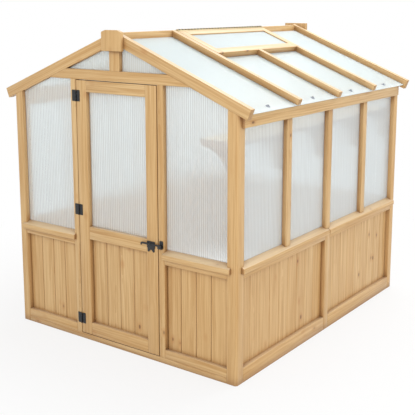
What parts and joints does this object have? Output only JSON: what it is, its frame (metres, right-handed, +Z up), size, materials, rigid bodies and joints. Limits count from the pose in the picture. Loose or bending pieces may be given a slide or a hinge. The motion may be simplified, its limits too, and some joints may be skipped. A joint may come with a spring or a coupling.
{
  "type": "timber greenhouse",
  "caption": "Walk-in timber greenhouse with boarded lower walls, twin-wall plastic sheets above, a gable roof with a vent, a hinged door with a lift latch, and an inside shelf.",
  "frame": {"origin": "on the ground under the middle of the building", "axes": "+Z up, -Y out of the front wall with the door, +X towards the wall with the shelf"},
  "size_m": [2.076, 2.326, 2.134],
  "materials": {
    "timber": "planed softwood with a clear honey stain",
    "twin_wall_sheet": "translucent twin-wall polycarbonate",
    "black_steel": "black powder coat",
    "bare_steel": "dull plated steel"
  },
  "bodies": {
    "building": {"apex_boards": "timber", "base_rails": "timber", "battens": "timber", "bottom_rails": "timber", "corner_posts": "timber", "door_jambs": "timber", "eave_beams": "timber", "front_boards": "timber", "front_panes": "twin_wall_sheet", "gable_panes": "twin_wall_sheet", "hinge_jamb_leaves": "black_steel", "king_posts": "timber", "latch_keeper": "black_steel", "left_boards": "timber", "left_panes": "twin_wall_sheet", "left_rakes": "timber", "left_roof_sheets": "twin_wall_sheet", "mid_rails": "timber", "middle_posts": "timber", "mullions": "timber", "rafters": "timber", "rear_boards": "timber", "rear_panes": "twin_wall_sheet", "rear_studs": "timber", "ridge_beam": "timber", "right_boards": "timber", "right_panes": "twin_wall_sheet", "right_rakes": "timber", "right_roof_sheets": "twin_wall_sheet", "shelf": "timber", "shelf_brackets": "timber", "sills": "timber", "tie_beams": "timber", "vent_hinge": "bare_steel", "vent_rails": "timber", "vent_sheet": "twin_wall_sheet", "vent_stiles": "timber", "vent_trimmer": "timber"},
    "door": {"door_stiles": "timber", "door_rails": "timber", "door_boards": "timber", "door_pane": "twin_wall_sheet", "hinge_door_leaves": "black_steel", "latch_plate": "black_steel"},
    "latch": {"latch_bar": "black_steel"}
  },
  "joints": [
    {"name": "door_swing", "type": "hinge", "parent": "building", "child": "door", "pos_m": [-0.3465, -1.1405, 0.9225], "axis": [0, 0, -1], "range_deg": [0, 110]},
    {"name": "latch_lift", "type": "hinge", "parent": "door", "child": "latch", "pos_m": [0.288, -1.148, 0.79], "axis": [0, -1, 0], "range_deg": [0, 25]}
  ]
}
